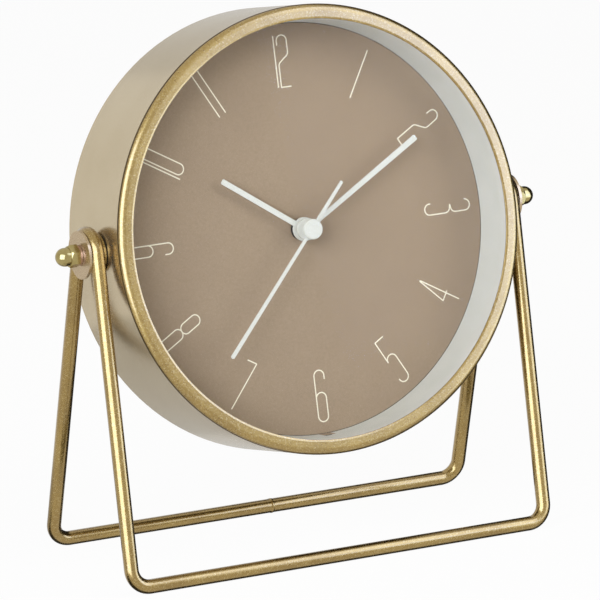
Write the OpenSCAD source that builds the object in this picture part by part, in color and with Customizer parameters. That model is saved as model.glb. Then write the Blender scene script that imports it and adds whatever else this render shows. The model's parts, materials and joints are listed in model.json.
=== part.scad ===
// Table clock: a drum case that tilts in a stand bent from one round wire.
// Millimetres. The origin lies on the table, under the middle of the tilt axis; the dial faces -Y.
// Inside the case, depths are counted from the front ring's face towards the back.

/* [Case] */
// Outer diameter of the drum case
case_d = 155; // [150:1:160]
// How far the rear cover lies inside the drum's rear edge
rear_recess = 3.3; // [3.2:0.1:6]
// Thickness of the drum's sheet metal
wall = 1; // [0.8:0.1:1.2]
// Width of the front ring, seen from the front
bezel_w = 5.1; // [4.8:0.1:6]
// Thickness of the front ring's face
bezel_t = 1.6; // [1.5:0.1:1.8]
// Depth to which the front ring's skirt reaches inside the drum
bezel_side = 4.6; // [3.6:0.2:6]
// How far the front ring's edge stands inside the case's side, on the radius
bezel_inset = 0.5; // [0.2:0.1:0.8]
// Rounding of the front ring's outer edge
bezel_round = 1.3; // [0.6:0.1:1.4]
// Thickness of the front glass
lens_t = 2; // [1.5:0.1:2.5]
// Width of the lugs that hold the rear cover
lug_w = 10; // [9:0.5:12]

/* [Dial] */
// Gap between the front glass and the cap on the hands
glass_clear = 3.4; // [2:0.1:5]
// Thickness of the printed dial
dial_t = 0.8; // [0.5:0.1:1]
// How far the spacer ring's inner edge stands inside the front ring's, on the radius
ring_step = 0.75; // [0.6:0.05:1.4]
// How much the spacer ring opens towards the glass, on the radius
ring_flare = 0.7; // [0.2:0.1:0.8]
// Width of the notch in the spacer ring
notch_w = 4.7; // [3:0.1:6]
// Height of that notch above the dial
notch_h = 1.4; // [0.8:0.1:2]
// Thickness of the moulded plate behind the dial
base_t = 2; // [1.6:0.1:2.4]

/* [Stand] */
// Diameter of the stand's wire
wire_d = 5; // [4.5:0.1:5.5]
// Height of the tilt axis above the middle of the base bars
leg_rise = 110.6; // [105:0.2:120]
// Distance of each base bar's corner in front of or behind the tilt axis
foot = 31.5; // [28:0.5:40]
// Radius of the loop round each pivot, at the middle of the wire
loop_r = 7; // [6.8:0.1:7.6]
// Radius of the bends in the base, at the middle of the wire
bend_r = 6.5; // [5:0.5:10]
// How far the case leans back at rest
case_tilt = 12.3; // [0:0.1:40]

/* [Pivots] */
// Depth of the tilt axis behind the front of the case
pivot_depth = 17.8; // [16:0.1:20]
// Height of the tilt axis above the centre of the case
pivot_rise = 1.2; // [0:0.1:3]
// Diameter of the pivot bolts
bolt_d = 4; // [3.6:0.1:4.2]
// Diameter of the flat washer on each wire loop
washer_d = 16.6; // [15:0.2:18]
// Thickness of that washer
washer_t = 1; // [0.8:0.1:1.5]
// Thickness of the bush flange between the wire loop and the case
bush_t = 1; // [0.8:0.1:1.5]
// Gap between the bush and the case
run_gap = 0.3; // [0.2:0.05:0.5]
// Width across the flats of the dome nuts
nut_flats = 7; // [6.6:0.2:8]
// Height of the dome nuts
nut_h = 7.7; // [7.4:0.1:9]

/* [Hands] */
// Length of the hour hand from the centre
hour_len = 35.9; // [30:0.1:42]
// Length of the minute hand from the centre
minute_len = 53.3; // [44:0.1:60]
// Length of the second hand from the centre
second_len = 54; // [44:0.1:60]
// Length of the second hand's tail
tail_len = 20.2; // [14:0.1:26]
// Width of the hour hand
hour_w = 1.9; // [1.4:0.1:2.4]
// Width of the minute hand at its tip
minute_w = 2.1; // [1.6:0.1:2.6]
// Width of the second hand at its tip
second_w = 1.4; // [1:0.1:1.8]
// Thickness of the hands' sheet metal
hand_t = 0.4; // [0.3:0.05:0.5]
// Height of the hour hand's face above the dial
hour_rise = 3; // [2.6:0.1:4]
// Step up from the hour hand to the minute hand
minute_step = 2.5; // [2.2:0.1:3]
// Step up from the minute hand to the second hand
second_step = 3.4; // [3:0.1:4]
// Diameter of the cap on the second hand
cap_d = 7.2; // [6.4:0.2:7.4]
// Hour hand's angle at rest, clockwise from 12
hour_angle = 304; // [0:1:359]
// Minute hand's angle at rest, clockwise from 12
minute_angle = 59.6; // [0:0.1:359]
// Second hand's angle at rest, clockwise from 12
second_angle = 221.7; // [0:0.1:359]

/* [Movement] */
// Length of the cell, with its nub
cell_len = 50.5; // [49.5:0.5:51]
// Diameter of the cell
cell_d = 14.5; // [14:0.1:14.5]
// Room for the two contacts at the ends of the cell
contact_room = 3.5; // [3:0.1:5]
// Wall of the movement's housing
shell_t = 1; // [0.8:0.1:1.2]
// Diameter of the setting knob
knob_d = 10; // [8:0.5:12]

/* [Hidden] */
$fn = 40;

// One overrun serves all cuts.
over = 0.5;
// Radial gap of a part that is pushed on or held fast
fit_gap = 0.02;
// Radial running gap of a shaft in its hole
play = 0.05;
// Gap where a part lies in its seat
seat_gap = 0.1;
// Gap round a part that only has to pass
pass_gap = 0.5;

half_turn = 180;
case_r = case_d / 2;
wire_r = wire_d / 2;
bolt_r = bolt_d / 2;
drum_inner_r = case_r - wall;
bezel_inner_r = case_r - bezel_w;
spigot_r = drum_inner_r - seat_gap;
lens_r = spigot_r - wall - 3 * seat_gap;
disc_r = drum_inner_r - pass_gap - seat_gap;
bezel_lip = bezel_t * 0.375;
bezel_outer_r = case_r - bezel_inset;
edge_round = wall / 3;

// The hands' heights above the dial
minute_rise = hour_rise + minute_step;
second_rise = minute_rise + second_step;
boss_t = 2.5 * hand_t;
cap_h = 2.75 * hand_t;

// The movement's housing is as large as its cell needs.
movement_w = cell_len + contact_room + 2 * shell_t;
movement_t = cell_d + shell_t + 2 * seat_gap + pass_gap;

// The stack behind the front ring, front to back
lens_back = bezel_t + lens_t;
dial_depth = lens_back + glass_clear + cap_h + second_rise;
dial_back = dial_depth + dial_t;
base_back = dial_back + base_t;
movement_back = base_back + movement_t;
cover_t = wall;
cover_front = movement_back + 2 * seat_gap;
cover_back = cover_front + cover_t;
case_depth = cover_back + rear_recess;

// The spacer ring
ring_r = bezel_inner_r - ring_step;
ring_outer_r = ring_r + ring_flare + wall * 0.9;
ring_flange_t = wall;
notch_turn = 0.8;

// The stand: each leg is tangent to the loop round its pivot.
pivot_h = leg_rise + wire_r;
loop_inner_r = loop_r - wire_r;
leg_len = sqrt(foot * foot + leg_rise * leg_rise - loop_r * loop_r);
leg_lean = atan(foot / leg_rise) - asin(loop_r / norm([foot, leg_rise]));
half_span = case_r + run_gap + bush_t + wire_r;
weld_place_share = 0.06;
weld_bulge = wire_r * 0.06;
weld_r = wire_r / 2;
// A bend and the next straight are drawn a hair apart, and a ball a hair thicker than the wire closes the joint.
joint_gap = 0.01;
joint_r = wire_r + 2 * joint_gap;

// Along the tilt axis, outwards from the middle of the clock
bush_in = case_r + run_gap;
washer_in = half_span + wire_r;
spring_t = washer_t * 0.9;
spring_in = washer_in + washer_t + seat_gap;
nut_in = spring_in + spring_t;
bush_boss_r = loop_inner_r - 3 * seat_gap;
washer_bore_r = bolt_r + play;
spring_r = bolt_r * 1.75;
spring_split = 18;
hex_h = nut_h * 0.42;
dome_r = nut_flats * 0.46;
thread_len = nut_h - dome_r / 2 - seat_gap;
head_r = bolt_d;
bolt_seat = sqrt(pow(drum_inner_r, 2) - pow(head_r + pivot_rise, 2)) - seat_gap;
head_room = bolt_seat - ring_outer_r;
head_h = head_room * 0.67;
head_notch_r = ring_outer_r + head_room * 0.07;
head_notch_w = 2 * (head_r + pass_gap);

// The rear cover's lugs, posts and screws
screw_r = 1.45;
screw_head_r = 2 * screw_r;
screw_head_h = 1.25 * screw_r;
screw_grip = 7 * screw_r;
screw_turns = [45, 135, 225, 315];
post_r = 2.5 * screw_r;
screw_pcr = drum_inner_r - wall - post_r - 2 * pass_gap - screw_r / 2;
lug_t = wall;
lug_back = cover_front;
lug_front = lug_back - lug_t;
lug_leg = 6 * wall;
lug_inner_r = screw_pcr - 2.5 * screw_r;

// The shafts in the middle of the dial, each running inside the next
arbor_r = movement_w / 112;
tube_wall = 1.9 * arbor_r;
cannon_bore_r = arbor_r + play;
cannon_r = cannon_bore_r + tube_wall;
hour_bore_r = cannon_r + play;
hour_tube_r = hour_bore_r + tube_wall;
collar_bore_r = hour_tube_r + play;
collar_r = collar_bore_r + 1.2 * tube_wall;
hour_boss_r = collar_r * 1.12;
minute_boss_r = collar_r * 1.03;
cap_r = cap_d / 2;
hub_r = arbor_r + tube_wall / 2;

// The movement. The wheels lie in layers, given as depths behind the housing's front wall.
movement_r = movement_w / 2;
housing_round = 3 * shell_t;
train_front = base_back + shell_t;
bearing_r = 1.9 * arbor_r;
motion_post_r = 1.5 * arbor_r;
knob_shaft_r = knob_d * 0.245;
split_depth = base_back + movement_t / 2;
ear_t = 2.5 * shell_t;
ear_w = movement_w / 5.6;
ear_len = 3 * shell_t;
clip_t = 1.6 * shell_t;
wheel_t = movement_t / 20;
layer_gap = movement_t / 54;
hour_layer = train_front + layer_gap;
motion_layer = hour_layer + wheel_t + 1.5 * layer_gap;
centre_layer = motion_layer + 2.5 * wheel_t;
third_layer = centre_layer + wheel_t + 2.2 * layer_gap;
seconds_layer = third_layer + wheel_t + 2.3 * layer_gap;
inter_layer = seconds_layer + wheel_t + 2.3 * layer_gap;
plate_layer = inter_layer + wheel_t + 2.6 * layer_gap;
arbor_end = plate_layer + wheel_t - seat_gap;
cover_wall_front = movement_back - shell_t;

// The cell and its compartment
cell_r = cell_d / 2;
bay_half_w = movement_r - shell_t;
bay_low = -movement_r + shell_t;
bay_high = bay_low + cell_d + pass_gap;
bay_wall_high = bay_high + shell_t;
cell_y = (bay_low + bay_high) / 2;
cell_depth = train_front + cell_r + 2 * seat_gap;
nub_r = cell_r * 0.38;
nub_h = cell_r * 0.14;
contact_t = 0.4;
cell_plus_x = bay_half_w - contact_t - 2 * seat_gap;
cell_minus_x = cell_plus_x - cell_len;

// Tooth counts: 30 turns of the rotor to one of the second hand, 60 to one of the centre wheel, 12 to the hour hand
rotor_leaves = 6;
inter_teeth = 30;
inter_leaves = 6;
seconds_teeth = 36;
seconds_leaves = 6;
third_teeth = 48;
third_leaves = 6;
centre_teeth = 45;
cannon_leaves = 10;
motion_teeth = 30;
motion_leaves = 8;
hour_teeth = 32;
knob_leaves = 10;

// Distances between the axes, and the direction of each from the one before
third_dist = movement_w * 0.2025;
inter_dist = movement_w * 0.20625;
rotor_dist = movement_w * 0.14464;
motion_dist = movement_w * 0.15;
third_dir = 80;
inter_dir = 195;
rotor_dir = half_turn;
motion_dir = -20;
knob_dir = 30;
third_at = polar(third_dist, third_dir);
inter_at = polar(inter_dist, inter_dir);
rotor_at = inter_at + polar(rotor_dist, rotor_dir);
motion_at = polar(motion_dist, motion_dir);
knob_at = motion_at + polar(motion_dist, knob_dir);

// Tooth outline: half widths as shares of the pitch, at the root, the pitch circle and the tip;
// heights above and below the pitch circle as shares of the module
wheel_tooth_share = [[0.33, -1.05], [0.22, 0], [0.09, 0.75]];
leaf_tooth_share = [[0.26, -1.05], [0.19, 0], [0.08, 0.7]];

// Coil and stator
magnet_r = movement_w * 0.052;
pole_gap = movement_w * 0.009;
pole_wall = movement_w * 0.0286;
coil_r = movement_w * 0.0607;
coil_half = movement_w / 8;
coil_flange_r = coil_r * 1.18;
coil_at = [coil_flange_r + 2 * seat_gap - bay_half_w, movement_w * 0.232];
core_w = movement_w * 0.043;
lamination_t = 1.25 * wheel_t;
stator_front = third_layer + wheel_t;
stator_mid = stator_front + lamination_t / 2;

// Circuit board
board_size = [movement_w * 0.393, movement_w * 0.214];
board_at = [movement_w * 0.241, movement_w * 0.357];
board_t = wheel_t;
board_depth = plate_layer + wheel_t + 2 * layer_gap;

brass_gold = "#c9a35a";
champagne = "#c2b391";
hand_white = "#e8e7e2";
dial_taupe = "#a69585";
steel = "#c9cbcc";
brass = "#c8a24a";

function polar(r, a) = [r * cos(a), r * sin(a)];

// Angle of a tooth of wheel B that meshes at rest with wheel A, which has a tooth at angle_a
function mesh_angle(dir, angle_a, teeth_a, teeth_b) =
    dir + half_turn - (angle_a - dir) * teeth_a / teeth_b + half_turn / teeth_b;

// Outline of a toothed wheel that shares a distance with its mate in the ratio of the teeth
function tooth_points(teeth, pitch_r, shape) = [
    for (i = [0 : teeth - 1])
        let (m = 2 * pitch_r / teeth, pitch = 360 / teeth)
            each [
                for (p = shape) polar(pitch_r + p[1] * m, (i - p[0]) * pitch),
                for (k = [len(shape) - 1 : -1 : 0]) polar(pitch_r + shape[k][1] * m, (i + shape[k][0]) * pitch)
            ]
];

function pitch_radius(distance, teeth, mate) = distance * teeth / (teeth + mate);

// Carries a shape drawn in the case's own frame (x right, y up, z out of the dial) to its place at rest
module in_case() {
    translate([0, 0, pivot_h])
        rotate([-case_tilt, 0, 0])
            translate([0, 0, -pivot_rise])
                rotate([90, 0, 0])
                    translate([0, 0, pivot_depth])
                        children();
}

// Extrudes a flat shape between two depths behind the front face
module slab(front, back) {
    translate([0, 0, -back])
        linear_extrude(back - front)
            children();
}

// A round bar between two depths, at a place on the dial plane
module bar(at, r, front, back) {
    translate([at[0], at[1], -back])
        cylinder(r = r, h = back - front);
}

// Turns a profile of [radius, depth] points about the case's axis
module turned(points) {
    rotate_extrude($fn = 120)
        polygon([for (p = points) [p[0], -p[1]]]);
}

// Along the tilt axis, with z outwards on the given side
module on_axis(side) {
    translate([0, 0, pivot_h])
        rotate([0, side * 90, 0])
            children();
}

module rounded_square(w, h, r) {
    square([w - 2 * r, h], center = true);
    square([w, h - 2 * r], center = true);
    for (x = [-1, 1], y = [-1, 1])
        translate([x * (w / 2 - r), y * (h / 2 - r)])
            circle(r);
}

// Room for the heads of the pivot bolts in the parts that lie level with them
module head_notches(front, back) {
    for (side = [-1, 1])
        translate([side * (head_notch_r + case_r) / 2, pivot_rise, -(front + back) / 2])
            cube([case_r - head_notch_r, head_notch_w, back - front + 2 * over], center = true);
}

// A leg at the left rear with the bend at its foot
module leg() {
    translate([-half_span, foot, wire_r])
        rotate([90 + leg_lean, 0, 0]) {
            translate([bend_r, bend_r, 0])
                rotate([0, 0, 180])
                    rotate_extrude(angle = 90)
                        translate([bend_r, 0])
                            circle(wire_r);
            translate([0, bend_r, 0])
                rotate([-90, 0, 0])
                    cylinder(r = wire_r, h = leg_len - bend_r - joint_gap);
            translate([bend_r, 0, 0])
                rotate([0, 90, 0])
                    sphere(joint_r);
            translate([0, leg_len, 0])
                rotate([90, 0, 0])
                    sphere(joint_r);
        }
}

// The left side of the stand: two legs and the loop over the pivot
module stand_side() {
    leg();
    mirror([0, 1, 0])
        leg();
    translate([-half_span, 0, pivot_h])
        rotate([90, 0, 90])
            rotate([0, 0, leg_lean])
                rotate_extrude(angle = 180 - 2 * leg_lean)
                    translate([loop_r, 0])
                        circle(wire_r);
}

module stand_wire() {
    color(brass_gold)
        union() {
            stand_side();
            mirror([1, 0, 0])
                stand_side();
            for (y = [-foot, foot])
                translate([0, y, wire_r])
                    rotate([0, 90, 0])
                        cylinder(r = wire_r, h = 2 * (half_span - bend_r - joint_gap), center = true);
            translate([half_span * weld_place_share, foot, wire_r])
                rotate([0, 90, 0])
                    rotate_extrude()
                        translate([wire_r + weld_bulge - weld_r, 0])
                            circle(weld_r);
        }
}

module pivot_bush(side) {
    color(brass_gold)
        on_axis(side)
            difference() {
                union() {
                    translate([0, 0, bush_in])
                        cylinder(r = loop_r, h = bush_t);
                    translate([0, 0, bush_in])
                        cylinder(r = bush_boss_r, h = washer_in - bush_in - seat_gap);
                }
                translate([0, 0, bush_in - over])
                    cylinder(r = washer_bore_r, h = washer_in - bush_in + 2 * over);
            }
}

module pivot_bush_left() {
    pivot_bush(-1);
}

module pivot_bush_right() {
    pivot_bush(1);
}

module pivot_washer(side) {
    color(brass_gold)
        on_axis(side)
            translate([0, 0, washer_in])
                difference() {
                    cylinder(d = washer_d, h = washer_t);
                    translate([0, 0, -over])
                        cylinder(r = washer_bore_r, h = washer_t + 2 * over);
                }
}

module pivot_washer_left() {
    pivot_washer(-1);
}

module pivot_washer_right() {
    pivot_washer(1);
}

// The drum, with four lugs for the rear cover
module case_drum() {
    front = bezel_t + seat_gap;
    color(champagne)
        in_case()
            difference() {
                union() {
                    turned([
                        [drum_inner_r, front], [case_r, front], [case_r, case_depth - edge_round],
                        [case_r - edge_round, case_depth], [drum_inner_r, case_depth]
                    ]);
                    for (turn = screw_turns)
                        rotate([0, 0, turn])
                            cover_lug();
                }
                for (side = [-1, 1])
                    translate([0, pivot_rise, -pivot_depth])
                        rotate([0, side * 90, 0])
                            translate([0, 0, head_notch_r])
                                cylinder(r = bolt_r + seat_gap, h = case_r - head_notch_r + over);
            }
}

// An angle lug, welded to the inside of the drum
module cover_lug() {
    leg_r = drum_inner_r + wall / 2;
    difference() {
        union() {
            translate([lug_inner_r, -lug_w / 2, -lug_back])
                cube([leg_r - lug_inner_r, lug_w, lug_t]);
            translate([leg_r - 1.6 * wall, -lug_w / 2, -lug_back])
                cube([1.6 * wall, lug_w, lug_leg]);
        }
        bar([screw_pcr, 0], screw_r + seat_gap, lug_front - over, lug_back + over);
    }
}

// The front ring: a flat rim with a rounded outer edge and a bevelled inner one, and a skirt inside the drum
module front_bezel() {
    arc_steps = 24;
    color(brass_gold)
        in_case()
            rotate_extrude($fn = 120)
                difference() {
                    union() {
                        translate([bezel_inner_r, -bezel_t])
                            square([bezel_outer_r - bezel_round - bezel_inner_r, bezel_t]);
                        translate([bezel_outer_r - bezel_round, -bezel_t])
                            square([bezel_round, bezel_t - bezel_round]);
                        translate([spigot_r - wall, -bezel_side])
                            square([wall, bezel_side - bezel_t / 2]);
                        intersection() {
                            translate([bezel_outer_r - bezel_round, -bezel_round])
                                circle(bezel_round, $fn = 4 * arc_steps);
                            translate([bezel_outer_r - bezel_round, -bezel_round])
                                square(bezel_round);
                        }
                    }
                    polygon([
                        [bezel_inner_r - over, over], [bezel_inner_r + bezel_lip + over, over],
                        [bezel_inner_r - over, -bezel_lip - over]
                    ]);
                }
}

module front_lens() {
    color("#e6eef0", 0.25)
        in_case()
            bar([0, 0], lens_r, bezel_t, lens_back);
}

module spacer_ring() {
    front = lens_back + seat_gap;
    front_r = ring_r + ring_flare;
    color("#dfe2dd")
        in_case()
            difference() {
                turned([
                    [front_r, front], [ring_outer_r, front], [ring_outer_r, dial_depth - ring_flange_t],
                    [disc_r, dial_depth - ring_flange_t], [disc_r, dial_depth], [ring_r, dial_depth]
                ]);
                head_notches(dial_depth - ring_flange_t, dial_depth);
                rotate([0, 0, notch_turn])
                    translate([-notch_w / 2, -case_r, -dial_depth - over])
                        cube([notch_w, case_r / 2, notch_h + over]);
            }
}

module dial() {
    color(dial_taupe)
        in_case()
            difference() {
                bar([0, 0], disc_r, dial_depth, dial_back);
                bar([0, 0], collar_r + seat_gap, dial_depth - over, dial_back + over);
                head_notches(dial_depth, dial_back);
            }
}

// Plate behind the dial, with posts for the cover screws and two clips over the movement's ears
module dial_base() {
    clip_x = movement_r + ear_len + seat_gap;
    clip_back = base_back + ear_t + clip_t + seat_gap;
    color("#2b2b2c")
        in_case()
            difference() {
                union() {
                    bar([0, 0], disc_r, dial_back, base_back);
                    for (turn = screw_turns)
                        bar(polar(screw_pcr, turn), post_r, base_back - over, lug_front - seat_gap);
                    for (side = [-1, 1])
                        mirror([(1 - side) / 2, 0, 0]) {
                            translate([clip_x, -ear_w / 2, -clip_back])
                                cube([clip_t, ear_w, clip_back - base_back + over]);
                            translate([clip_x - ear_len / 2, -ear_w / 2, -clip_back])
                                cube([ear_len / 2 + over, ear_w, clip_t]);
                        }
                }
                bar([0, 0], collar_r + seat_gap, dial_back - over, base_back + over);
                head_notches(dial_back, base_back);
                for (turn = screw_turns)
                    bar(polar(screw_pcr, turn), screw_r + fit_gap, cover_back - screw_grip - seat_gap, lug_back);
            }
}

module rear_cover() {
    opening = movement_w + 2 * pass_gap;
    color(champagne)
        in_case()
            difference() {
                turned([
                    [0, cover_front], [disc_r, cover_front], [disc_r, cover_back - edge_round],
                    [disc_r - edge_round, cover_back], [0, cover_back]
                ]);
                slab(cover_front - over, cover_back + over)
                    rounded_square(opening, opening, housing_round);
                for (turn = screw_turns)
                    bar(polar(screw_pcr, turn), screw_r + seat_gap, cover_front - over, cover_back + over);
            }
}

module cover_screws() {
    slot = screw_r / 2;
    color(steel)
        in_case()
            for (turn = screw_turns)
                translate(polar(screw_pcr, turn))
                    difference() {
                        union() {
                            bar([0, 0], screw_r, cover_back - screw_grip, cover_back + seat_gap);
                            turned([
                                [0, cover_back], [screw_head_r, cover_back],
                                [screw_head_r, cover_back + screw_head_h / 2],
                                [screw_head_r * 0.7, cover_back + screw_head_h], [0, cover_back + screw_head_h]
                            ]);
                        }
                        for (turn2 = [0, 90])
                            translate([0, 0, -cover_back - screw_head_h])
                                rotate([0, 0, turn2])
                                    cube([screw_head_r * 1.2, slot, screw_head_h], center = true);
                    }
}

// A round-headed bolt through the case wall, the bush, the washers and into the dome nut
module pivot_bolt(side) {
    color(steel)
        on_axis(side) {
            translate([0, 0, bolt_seat - head_h])
                rotate_extrude()
                    polygon([
                        [0, 0], [head_r * 0.75, 0], [head_r, head_h * 0.4], [head_r, head_h],
                        [bolt_r, head_h], [0, head_h]
                    ]);
            translate([0, 0, bolt_seat - seat_gap])
                cylinder(r = bolt_r, h = nut_in + thread_len - bolt_seat);
        }
}

module pivot_bolt_left() {
    pivot_bolt(-1);
}

module pivot_bolt_right() {
    pivot_bolt(1);
}

module spring_washer(side) {
    bore_r = bolt_r + 2 * play;
    color("#d9b9a0")
        on_axis(side)
            translate([0, 0, spring_in])
                rotate([0, 0, 70])
                    rotate_extrude(angle = 360 - spring_split)
                        translate([bore_r, 0])
                            square([spring_r - bore_r, spring_t]);
}

module spring_washer_left() {
    spring_washer(-1);
}

module spring_washer_right() {
    spring_washer(1);
}

module dome_nut(side) {
    corner_r = nut_flats / sqrt(3);
    color(brass)
        on_axis(side)
            translate([0, 0, nut_in])
                difference() {
                    union() {
                        intersection() {
                            cylinder(r = corner_r, h = hex_h, $fn = 6);
                            rotate_extrude()
                                polygon([
                                    [0, 0], [corner_r, 0], [corner_r, hex_h - corner_r / 5],
                                    [corner_r * 0.86, hex_h], [0, hex_h]
                                ]);
                        }
                        cylinder(r = dome_r, h = nut_h - dome_r);
                        translate([0, 0, nut_h - dome_r])
                            sphere(dome_r);
                    }
                    translate([0, 0, -over])
                        cylinder(r = bolt_r + fit_gap, h = thread_len + over);
                }
}

module dome_nut_left() {
    dome_nut(-1);
}

module dome_nut_right() {
    dome_nut(1);
}

// Front half of the movement's housing, with the collar that comes through the dial and the wheels' bearings
module movement_case() {
    color("#202124")
        in_case()
            difference() {
                union() {
                    difference() {
                        slab(base_back, split_depth)
                            rounded_square(movement_w, movement_w, housing_round);
                        slab(train_front, split_depth + over)
                            train_bay();
                        slab(train_front, split_depth + over)
                            cell_bay();
                    }
                    for (side = [-1, 1])
                        translate([side * (movement_r + (ear_len - shell_t) / 2), 0, -base_back - ear_t / 2])
                            cube([ear_len + shell_t, ear_w - pass_gap, ear_t], center = true);
                    bar([0, 0], collar_r, dial_depth - pass_gap, train_front);
                    bearing(third_at, centre_layer);
                    bearing(inter_at, seconds_layer);
                    bearing(rotor_at, third_layer);
                    bearing(knob_at, motion_layer);
                    bar(motion_at, motion_post_r, train_front - shell_t / 2, motion_layer + wheel_t + layer_gap);
                }
                bar([0, 0], collar_bore_r, dial_depth - 2 * over, train_front + over);
                for (at = [third_at, inter_at, rotor_at, knob_at])
                    bar(at, arbor_r + play, train_front, plate_layer);
            }
}

// A boss on the front wall, bored for a wheel's front pivot, that stops short of the wheel
module bearing(at, back) {
    bar(at, bearing_r, train_front - shell_t / 2, back - layer_gap);
}

module train_bay() {
    translate([-bay_half_w, bay_wall_high])
        square([2 * bay_half_w, movement_r - shell_t - bay_wall_high]);
}

module cell_bay() {
    translate([-bay_half_w, bay_low])
        square([2 * bay_half_w, bay_high - bay_low]);
}

// Rear half of the housing: closed behind the wheels, open behind the cell
module movement_cover() {
    color("#26272a")
        in_case()
            difference() {
                slab(split_depth + seat_gap, movement_back)
                    rounded_square(movement_w, movement_w, housing_round);
                slab(split_depth - over, cover_wall_front)
                    train_bay();
                slab(split_depth - over, movement_back + over)
                    cell_bay();
                bar(knob_at, knob_shaft_r + play, cover_wall_front - over, movement_back + over);
            }
}

// Plate behind the wheels, with their rear bearings, on four pillars
module train_plate() {
    low = bay_wall_high + pass_gap;
    high = movement_r - shell_t - pass_gap;
    half_w = bay_half_w - pass_gap;
    pillar_r = 3 * arbor_r;
    color(steel)
        in_case()
            difference() {
                union() {
                    slab(plate_layer, plate_layer + wheel_t)
                        difference() {
                            translate([-half_w, low])
                                square([2 * half_w, high - low]);
                            translate([coil_at[0] - coil_flange_r - pass_gap, coil_at[1] - coil_half - 2 * core_w])
                                square([2 * (coil_flange_r + pass_gap), 2 * coil_half + 4 * core_w]);
                        }
                    for (x = [-half_w * 0.4, half_w - pillar_r], y = [high - pillar_r])
                        bar([x, y], pillar_r, train_front + seat_gap, plate_layer + over);
                    bar([half_w - pillar_r, low + pillar_r], pillar_r, train_front + seat_gap, plate_layer + over);
                }
                for (at = [[0, 0], third_at, inter_at, rotor_at])
                    bar(at, arbor_r + play, plate_layer - over, plate_layer + wheel_t + over);
                bar(knob_at, knob_shaft_r + pass_gap, plate_layer - over, plate_layer + wheel_t + over);
            }
}

// Laminated stator round the rotor, whose arms reach the two ends of the coil's core
module stator() {
    hole_r = magnet_r + pole_gap;
    end_low = coil_at[1] - coil_half - core_w;
    end_high = coil_at[1] + coil_half;
    arm_x = coil_at[0] + coil_flange_r + pass_gap;
    color("#8d8f93")
        in_case()
            slab(stator_front, stator_front + lamination_t)
                difference() {
                    union() {
                        translate(rotor_at)
                            circle(hole_r + pole_wall);
                        translate([coil_at[0] - core_w / 2, rotor_at[1]])
                            square([core_w, end_low + core_w - rotor_at[1]]);
                        translate([arm_x, rotor_at[1]])
                            square([core_w, end_high + core_w - rotor_at[1]]);
                        translate([coil_at[0] - core_w / 2, end_high])
                            square([arm_x + core_w - coil_at[0] + core_w / 2, core_w]);
                    }
                    translate(rotor_at)
                        circle(hole_r);
                }
}

// Copper winding on its bobbin, with the core through it
module coil() {
    color("#b5622f")
        in_case()
            translate([coil_at[0], coil_at[1], -stator_mid])
                rotate([90, 0, 0]) {
                    cylinder(r = coil_r, h = 2 * coil_half - 2 * pass_gap, center = true);
                    for (end = [-1, 1])
                        translate([0, 0, end * (coil_half - pass_gap)])
                            cylinder(r = coil_flange_r, h = pass_gap, center = true);
                    cube([core_w, lamination_t, 2 * coil_half - seat_gap], center = true);
                }
}

module circuit_board() {
    chip_r = board_size[1] / 5;
    color("#2f5d3a")
        in_case()
            translate([board_at[0], board_at[1], 0]) {
                slab(board_depth, board_depth + board_t)
                    square([board_size[0], board_size[1]], center = true);
                translate([-board_size[0] / 5, 0])
                    turned([
                        [0, board_depth + board_t], [chip_r, board_depth + board_t],
                        [chip_r * 0.8, board_depth + 1.6 * board_t], [0, board_depth + 2 * board_t]
                    ]);
            }
}

module battery() {
    color("#4a4d52")
        in_case()
            translate([cell_minus_x, cell_y, -cell_depth])
                rotate([0, 90, 0])
                    rotate_extrude()
                        polygon([
                            [0, 0], [cell_r - edge_round, 0], [cell_r, edge_round],
                            [cell_r, cell_len - nub_h - edge_round], [cell_r - edge_round, cell_len - nub_h],
                            [nub_r, cell_len - nub_h], [nub_r, cell_len], [0, cell_len]
                        ]);
}

// Flat spring strip against the compartment's end wall
module contact_plus() {
    color(steel)
        in_case()
            translate([bay_half_w - contact_t - seat_gap, cell_y - cell_r / 2, -cell_depth - cell_r / 2])
                cube([contact_t, cell_r, cell_r]);
}

// Bent leaf that presses on the flat end of the cell
module contact_minus() {
    leaf_w = cell_r;
    reach = cell_minus_x + bay_half_w - 2 * seat_gap;
    rear = -cell_depth - leaf_w;
    fold = -cell_depth + leaf_w / 2;
    tail = -cell_depth - leaf_w / 2;
    color(steel)
        in_case()
            translate([-bay_half_w + seat_gap, cell_y - leaf_w / 2, 0])
                slab_sideways(leaf_w)
                    polygon([
                        [0, rear], [contact_t, rear], [contact_t, fold], [reach - contact_t, -cell_depth],
                        [reach - 2 * contact_t, tail], [reach - contact_t, tail], [reach, -cell_depth],
                        [contact_t, fold + 2 * contact_t], [0, fold + contact_t]
                    ]);
}

// Extrudes a shape drawn in x and z along y
module slab_sideways(w) {
    translate([0, w, 0])
        rotate([90, 0, 0])
            linear_extrude(w)
                children();
}

// A flat hand pointing to 12, with its boss and bore
module hand(length, root_w, tip_w, boss_r, bore_r, rise) {
    front = dial_depth - rise;
    difference() {
        union() {
            slab(front, front + hand_t)
                polygon([
                    [-root_w / 2, 0], [root_w / 2, 0], [tip_w / 2, length - tip_w / 6],
                    [tip_w / 3, length], [-tip_w / 3, length], [-tip_w / 2, length - tip_w / 6]
                ]);
            bar([0, 0], boss_r, front - seat_gap, front + boss_t);
        }
        bar([0, 0], bore_r, front - over, front + boss_t + over);
    }
}

module hour_hand() {
    color(hand_white)
        in_case()
            rotate([0, 0, -hour_angle])
                hand(hour_len, hour_w, hour_w, hour_boss_r, hour_tube_r + fit_gap, hour_rise);
}

module minute_hand() {
    color(hand_white)
        in_case()
            rotate([0, 0, -minute_angle])
                hand(minute_len, minute_w * 0.76, minute_w, minute_boss_r, cannon_r + fit_gap, minute_rise);
}

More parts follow.
